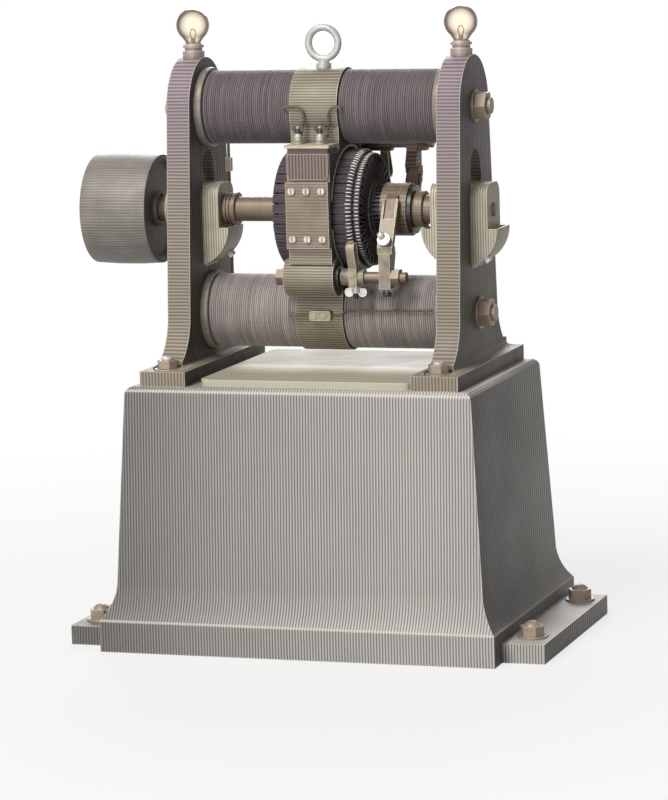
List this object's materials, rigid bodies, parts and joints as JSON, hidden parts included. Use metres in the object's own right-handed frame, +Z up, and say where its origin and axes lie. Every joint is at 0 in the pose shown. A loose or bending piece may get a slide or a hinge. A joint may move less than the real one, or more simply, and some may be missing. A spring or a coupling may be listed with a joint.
{
  "type": "pedestal dynamo",
  "caption": "Belt-driven dynamo on a cast pedestal: ring armature between field coils, commutator with hinged brush gear, belt pulley, lifting eye and lamps on the standards.",
  "frame": {"origin": "on the floor, at the centre of the foundation bolts", "axes": "+X along the shaft away from the pulley, +Y to the back, +Z up"},
  "size_m": [0.87, 0.528, 1.1],
  "materials": {
    "pedestal_iron": "satin paint over rough casting",
    "standard_iron": "satin paint",
    "core_iron": "machined, oiled",
    "drip_paint": "satin paint",
    "bearing_metal": "scraped gunmetal",
    "pole_metal": "bronzed lacquer",
    "brass": "satin, lacquered",
    "nut_bronze": "satin, darkened",
    "steel": "turned",
    "shaft_steel": "turned, oiled",
    "pulley_iron": "turned rim",
    "coil_cotton": "varnished cotton covering",
    "armature_cotton": "varnished cotton covering",
    "copper": "turned copper",
    "lead_cotton": "braided cotton covering",
    "bobbin_board": "varnished",
    "hub_wood": "oiled",
    "ebonite": "polished black rubber",
    "terminal_wood": "varnished",
    "bulb_glass": "clear",
    "filament": "glowing carbon on wire stems"
  },
  "bodies": {
    "frame": {"pedestal": "pedestal_iron", "drip_plate": "drip_paint", "left_standard": "standard_iron", "right_standard": "standard_iron", "foot_studs": "steel", "foot_nuts": "nut_bronze", "floor_nuts": "nut_bronze", "washers": "nut_bronze", "upper_field_core": "core_iron", "lower_field_core": "core_iron", "core_nuts": "nut_bronze", "upper_left_bobbin": "bobbin_board", "upper_right_bobbin": "bobbin_board", "lower_left_bobbin": "bobbin_board", "lower_right_bobbin": "bobbin_board", "upper_left_coil": "coil_cotton", "upper_right_coil": "coil_cotton", "lower_left_coil": "coil_cotton", "lower_right_coil": "coil_cotton", "upper_pole_piece": "pole_metal", "lower_pole_piece": "pole_metal", "front_bridge_plate": "brass", "rear_bridge_plate": "brass", "bridge_screws": "nut_bronze", "terminal_board": "terminal_wood", "binding_posts": "brass", "field_leads": "lead_cotton", "field_connector": "brass", "lifting_eye": "steel", "left_bearing_block": "bearing_metal", "right_bearing_block": "bearing_metal", "bearing_bushes": "brass", "drain_plugs": "nut_bronze", "lamp_holders": "brass", "lamp_bulbs": "bulb_glass", "lamp_filaments": "filament", "spindle_bushes": "ebonite"},
    "rotor": {"shaft": "shaft_steel", "armature_core": "core_iron", "armature_hub": "hub_wood", "armature_winding": "armature_cotton", "commutator_bars": "copper", "commutator_sleeve": "ebonite", "pulley": "pulley_iron", "pulley_key": "steel", "shaft_collars": "shaft_steel"},
    "front_brush_gear": {"front_brush_spindle": "shaft_steel", "front_brush_arm": "brass", "front_brush": "copper", "front_loop_spring": "brass"},
    "front_thumb": {"front_thumb_screw": "nut_bronze"},
    "front_wing": {"front_wing_nut": "nut_bronze"},
    "rear_brush_gear": {"rear_brush_spindle": "shaft_steel", "rear_brush_arm": "brass", "rear_brush": "copper", "rear_loop_spring": "brass"},
    "rear_thumb": {"rear_thumb_screw": "nut_bronze"},
    "rear_wing": {"rear_wing_nut": "nut_bronze"},
    "left_terminal": {"left_terminal_nut": "nut_bronze"},
    "right_terminal": {"right_terminal_nut": "nut_bronze"}
  },
  "joints": [
    {"name": "armature_spin", "type": "hinge", "parent": "frame", "child": "rotor", "pos_m": [0, 0, 0.748], "axis": [1, 0, 0], "continuous": true},
    {"name": "front_brush_swing", "type": "hinge", "parent": "frame", "child": "front_brush_gear", "pos_m": [0, -0.088, 0.639], "axis": [1, 0, 0], "range_deg": [0, 35], "stiffness_Nm_per_rad": 1.5, "springref_deg": -28.65},
    {"name": "rear_brush_swing", "type": "hinge", "parent": "frame", "child": "rear_brush_gear", "pos_m": [0, 0.088, 0.857], "axis": [1, 0, 0], "range_deg": [0, 35], "stiffness_Nm_per_rad": 1.5, "springref_deg": -28.65},
    {"name": "front_thumb_turn", "type": "hinge", "parent": "front_brush_gear", "child": "front_thumb", "pos_m": [0.128, -0.03944, 0.67383], "axis": [0, 0.8829, -0.4695], "range_deg": [-180, 180]},
    {"name": "rear_thumb_turn", "type": "hinge", "parent": "rear_brush_gear", "child": "rear_thumb", "pos_m": [0.128, 0.03944, 0.82217], "axis": [0, 0.8829, -0.4695], "range_deg": [-180, 180]},
    {"name": "front_wing_turn", "type": "hinge", "parent": "front_brush_gear", "child": "front_wing", "pos_m": [0.072, -0.088, 0.639], "axis": [0, 0, 1], "range_deg": [-180, 180]},
    {"name": "rear_wing_turn", "type": "hinge", "parent": "rear_brush_gear", "child": "rear_wing", "pos_m": [0.072, 0.088, 0.857], "axis": [0, 0, 1], "range_deg": [-180, 180]},
    {"name": "left_terminal_turn", "type": "hinge", "parent": "frame", "child": "left_terminal", "pos_m": [-0.024, -0.092, 0.893], "axis": [0, 0, 1], "range_deg": [-180, 180]},
    {"name": "right_terminal_turn", "type": "hinge", "parent": "frame", "child": "right_terminal", "pos_m": [0.016, -0.092, 0.893], "axis": [0, 0, 1], "range_deg": [-180, 180]}
  ]
}
